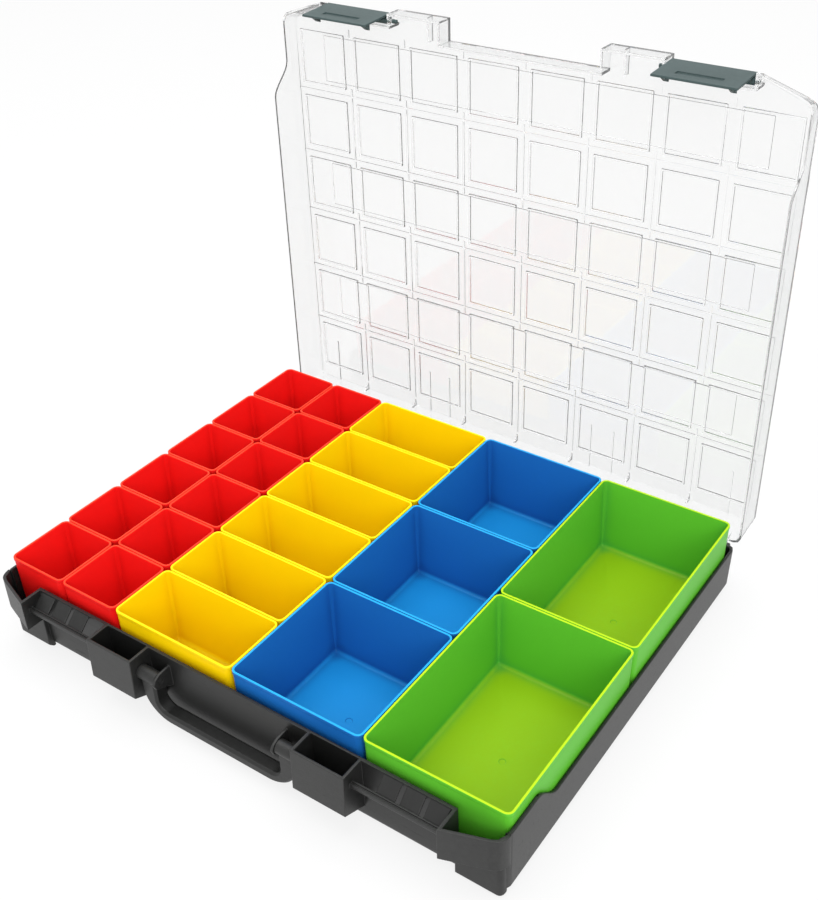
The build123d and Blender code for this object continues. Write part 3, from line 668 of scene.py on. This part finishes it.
def build_box(node, size, material):
    """One loose box where its frame node is: its underside, its wall's section and its floor mark.

    The section is carried round a rounded rectangle, and the rings of the round mark follow it.
    """
    low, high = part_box(node)
    half_w = (high.x - low.x) / 2
    half_d = (high.y - low.y) / 2
    section = box_section(size, high.z - low.z)
    insets = np.concatenate([[section[0, 0] + UNDERSIDE_INSET], section[:, 0]])
    heights = np.concatenate([[0.0], section[:, 1]])
    walls = rounded_loops(half_w, half_d, size.corner, insets, heights, size.corner_sides)
    floor = size.wall
    sunk = floor - size.dimple_depth
    radii = np.array([size.dimple * MARK_SPREAD, size.dimple, size.dimple - MARK_LEAN, MARK_CENTRE])
    mark = circle_loops(radii, np.array([floor, floor, sunk, sunk]), walls.shape[1])
    mesh = mesh_from_loops(f"{node}_form", np.concatenate([walls, mark]),
                           ((low.x + high.x) / 2, (low.y + high.y) / 2, low.z))
    mesh.shade_smooth()
    mesh.set_sharp_from_angle(angle=math.radians(CRISP_DEGREES))
    set_material(link_piece(f"{node}_box", mesh, node), material)


class CASE_OT_boxes(bpy.types.Operator):
    """Build the coloured loose boxes."""

    bl_idname = "case.boxes"
    bl_label = "Loose boxes"

    def execute(self, context):
        colours = context.scene.case_colours
        size = context.scene.case_boxes
        rim_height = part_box("inset_red_1")[1].z - size.band
        for shade in ("red", "yellow", "blue", "green"):
            # Wall colour, then the painted-light floor, the painted rim glow and the painted corner
            # shade
            tones = [getattr(colours, shade + part) for part in ("", "_up", "_rim", "_deep")]
            material = box_plastic(f"{shade}_moulding", *tones, rim_height)
            for node in sorted(NODES):
                if node.startswith(f"inset_{shade}"):
                    build_box(node, size, material)
        return {"FINISHED"}


class CASE_OT_tray(bpy.types.Operator):
    """Finish the tray and the handle."""

    bl_idname = "case.tray"
    bl_label = "Tray and handle"

    def execute(self, context):
        base = context.scene.case_colours.tray
        grain = moulded_plastic("tray_moulding", base, rough=0.42, grain_size=1500.0, grain=1.0,
                                drift=0.16, marks=0.14, wear=0.5, soft_edge=0.5 * MM,
                                specular=0.40)
        rounded_copy("tray", grain, width=0.6 * MM, segments=2, softened=TRAY_CORNERS)
        rounded_copy("handle", grain, width=0.9 * MM, segments=3)
        return {"FINISHED"}


class CASE_OT_lid(bpy.types.Operator):
    """Finish the clear lid."""

    bl_idname = "case.lid"
    bl_label = "Clear lid"

    def execute(self, context):
        colours = context.scene.case_colours
        clear = clear_plastic("clear_moulding", colours.clear, colours.clear_edge)
        rounded_copy("lid", clear, width=0.3 * MM, segments=2, softened=LID_CORNERS)
        return {"FINISHED"}


class CASE_OT_latches(bpy.types.Operator):
    """Finish the two latches."""

    bl_idname = "case.latches"
    bl_label = "Latches"

    def execute(self, context):
        base = context.scene.case_colours.latch
        grain = moulded_plastic("latch_moulding", base, rough=0.5, grain_size=1800.0, grain=0.8,
                                drift=0.12, marks=0.12, wear=0.4, soft_edge=0.5 * MM,
                                specular=0.43)
        for node in ("latch_left", "latch_right"):
            rounded_copy(node, grain, width=0.4 * MM, segments=2)
        return {"FINISHED"}


class CASE_OT_pins(bpy.types.Operator):
    """Finish the hinge pins."""

    bl_idname = "case.pins"
    bl_label = "Hinge pins"

    def execute(self, context):
        steel = drawn_steel("pin_steel", context.scene.case_colours.pin)
        for node in sorted(NODES):
            if node.startswith("hinge_pin"):
                set_material(NODES[node], steel)
        return {"FINISHED"}


def area_lamp(name, place, target, size, power):
    """A square soft lamp that shines from place towards target."""
    lamp = bpy.data.lights.new(name, "AREA")
    lamp.shape = "SQUARE"
    lamp.size = size
    lamp.energy = power
    obj = bpy.data.objects.new(name, lamp)
    bpy.context.scene.collection.objects.link(obj)
    turn = (Vector(target) - Vector(place)).to_track_quat("-Z", "Y").to_matrix().to_4x4()
    obj.matrix_world = Matrix.Translation(place) @ turn


def seen_directly(g):
    """A value that is 1 for camera, glossy and transmission rays."""
    path = g.add("ShaderNodeLightPath")
    first = g.add("ShaderNodeMath", operation="MAXIMUM")
    g.link(path.outputs["Is Camera Ray"], first.inputs[0])
    g.link(path.outputs["Is Glossy Ray"], first.inputs[1])
    second = g.add("ShaderNodeMath", operation="MAXIMUM")
    g.link(first.outputs[0], second.inputs[0])
    g.link(path.outputs["Is Transmission Ray"], second.inputs[1])
    return second.outputs[0]


def floor_material(base):
    """Pale matt floor that shows nearly white and still takes a shadow."""
    material, g, shader, out = new_material("stage_floor")
    shader.inputs["Base Color"].default_value = (*base, 1)
    shader.inputs["Roughness"].default_value = 1.0
    shader.inputs["Specular IOR Level"].default_value = 0.0
    glow = g.add("ShaderNodeEmission", Color=WHITE, Strength=1.0)
    share = g.add("ShaderNodeMath", operation="MULTIPLY")
    g.link(seen_directly(g), share.inputs[0])
    share.inputs[1].default_value = FLOOR_GLOW
    mix = g.add("ShaderNodeMixShader")
    g.link(share.outputs[0], mix.inputs["Fac"])
    g.link(shader.outputs["BSDF"], mix.inputs[1])
    g.link(glow.outputs[0], mix.inputs[2])
    g.link(mix.outputs[0], out.inputs["Surface"])
    return material


def build_floor(base):
    """A wide flat floor under the case."""
    level = CAD_LOW.z - FLOOR_GAP
    signs = ((-1, -1), (1, -1), (1, 1), (-1, 1))
    corners = [(x * FLOOR_HALF, y * FLOOR_HALF, level) for x, y in signs]
    mesh = bpy.data.meshes.new("stage_floor")
    mesh.from_pydata(corners, [], [(0, 1, 2, 3)])
    floor = bpy.data.objects.new("stage_floor", mesh)
    bpy.context.scene.collection.objects.link(floor)
    set_material(floor, floor_material(base))


def build_world(strength):
    """Even pale light all round, plain white where it is seen."""
    world = bpy.data.worlds.new("stage_sky")
    world.use_nodes = True
    g = Nodes(world.node_tree)
    back = world.node_tree.nodes["Background"]
    out = world.node_tree.nodes["World Output"]
    back.inputs["Color"].default_value = WHITE
    back.inputs["Strength"].default_value = strength
    white = g.add("ShaderNodeBackground", Color=WHITE, Strength=1.0)
    mix = g.add("ShaderNodeMixShader")
    g.link(seen_directly(g), mix.inputs["Fac"])
    g.link(back.outputs[0], mix.inputs[1])
    g.link(white.outputs[0], mix.inputs[2])
    g.link(mix.outputs[0], out.inputs["Surface"])
    bpy.context.scene.world = world


def build_camera():
    """The photograph's camera, from its eye point, two axes and focal length in pixels."""
    data = bpy.data.cameras.new("photo_camera")
    data.sensor_fit = "HORIZONTAL"
    data.sensor_width = 36.0
    data.lens = FOCAL_PX / PHOTO_W * data.sensor_width
    data.shift_x = (PHOTO_W / 2 - CENTRE_PX[0]) / PHOTO_W
    data.shift_y = (CENTRE_PX[1] - PHOTO_H / 2) / PHOTO_W
    data.clip_start = 0.02
    data.clip_end = 60.0
    camera = bpy.data.objects.new("photo_camera", data)
    bpy.context.scene.collection.objects.link(camera)
    right = LOOK_RIGHT.normalized()
    up = -(LOOK_DOWN - LOOK_DOWN.dot(right) * right).normalized()
    back = right.cross(up)
    turn = Matrix((right, up, back)).transposed().to_4x4()
    camera.matrix_world = Matrix.Translation(EYE) @ turn
    bpy.context.scene.camera = camera


class CASE_OT_stage(bpy.types.Operator):
    """Set the floor, the light and the camera."""

    bl_idname = "case.stage"
    bl_label = "Stage"

    def execute(self, context):
        settings = context.scene.case_stage
        build_floor(settings.floor)
        build_world(settings.sky)
        area_lamp("key_lamp", power=settings.key, **KEY_LAMP)
        area_lamp("top_lamp", power=settings.top, **TOP_LAMP)
        build_camera()
        context.scene.view_settings.view_transform = "Standard"
        return {"FINISHED"}


STEPS = (CASE_OT_boxes, CASE_OT_tray, CASE_OT_lid, CASE_OT_latches, CASE_OT_pins, CASE_OT_stage)


class CASE_PT_panel(bpy.types.Panel):
    """Lists the steps and the values that shape them."""

    bl_idname = "CASE_PT_panel"
    bl_label = "Case"
    bl_space_type = "VIEW_3D"
    bl_region_type = "UI"
    bl_category = "Case"

    def draw(self, context):
        for step in STEPS:
            self.layout.operator(step.bl_idname)
        scene = context.scene
        for group in (scene.case_colours, scene.case_boxes, scene.case_stage):
            column = self.layout.column()
            for name in group.bl_rna.properties.keys():
                if name not in {"rna_type", "name"}:
                    column.prop(group, name)


CLASSES = (CaseColours, BoxSizes, StageSettings, *STEPS, CASE_PT_panel)


def register():
    """Add the classes and the settings they keep in the scene."""
    for cls in CLASSES:
        bpy.utils.register_class(cls)
    bpy.types.Scene.case_colours = PointerProperty(type=CaseColours)
    bpy.types.Scene.case_boxes = PointerProperty(type=BoxSizes)
    bpy.types.Scene.case_stage = PointerProperty(type=StageSettings)


def unregister():
    """Take away what register added."""
    del bpy.types.Scene.case_stage
    del bpy.types.Scene.case_boxes
    del bpy.types.Scene.case_colours
    for cls in reversed(CLASSES):
        bpy.utils.unregister_class(cls)


def main():
    """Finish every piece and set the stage."""
    register()
    bpy.ops.case.boxes()
    bpy.ops.case.tray()
    bpy.ops.case.lid()
    bpy.ops.case.latches()
    bpy.ops.case.pins()
    bpy.ops.case.stage()


if __name__ == "__main__":
    main()
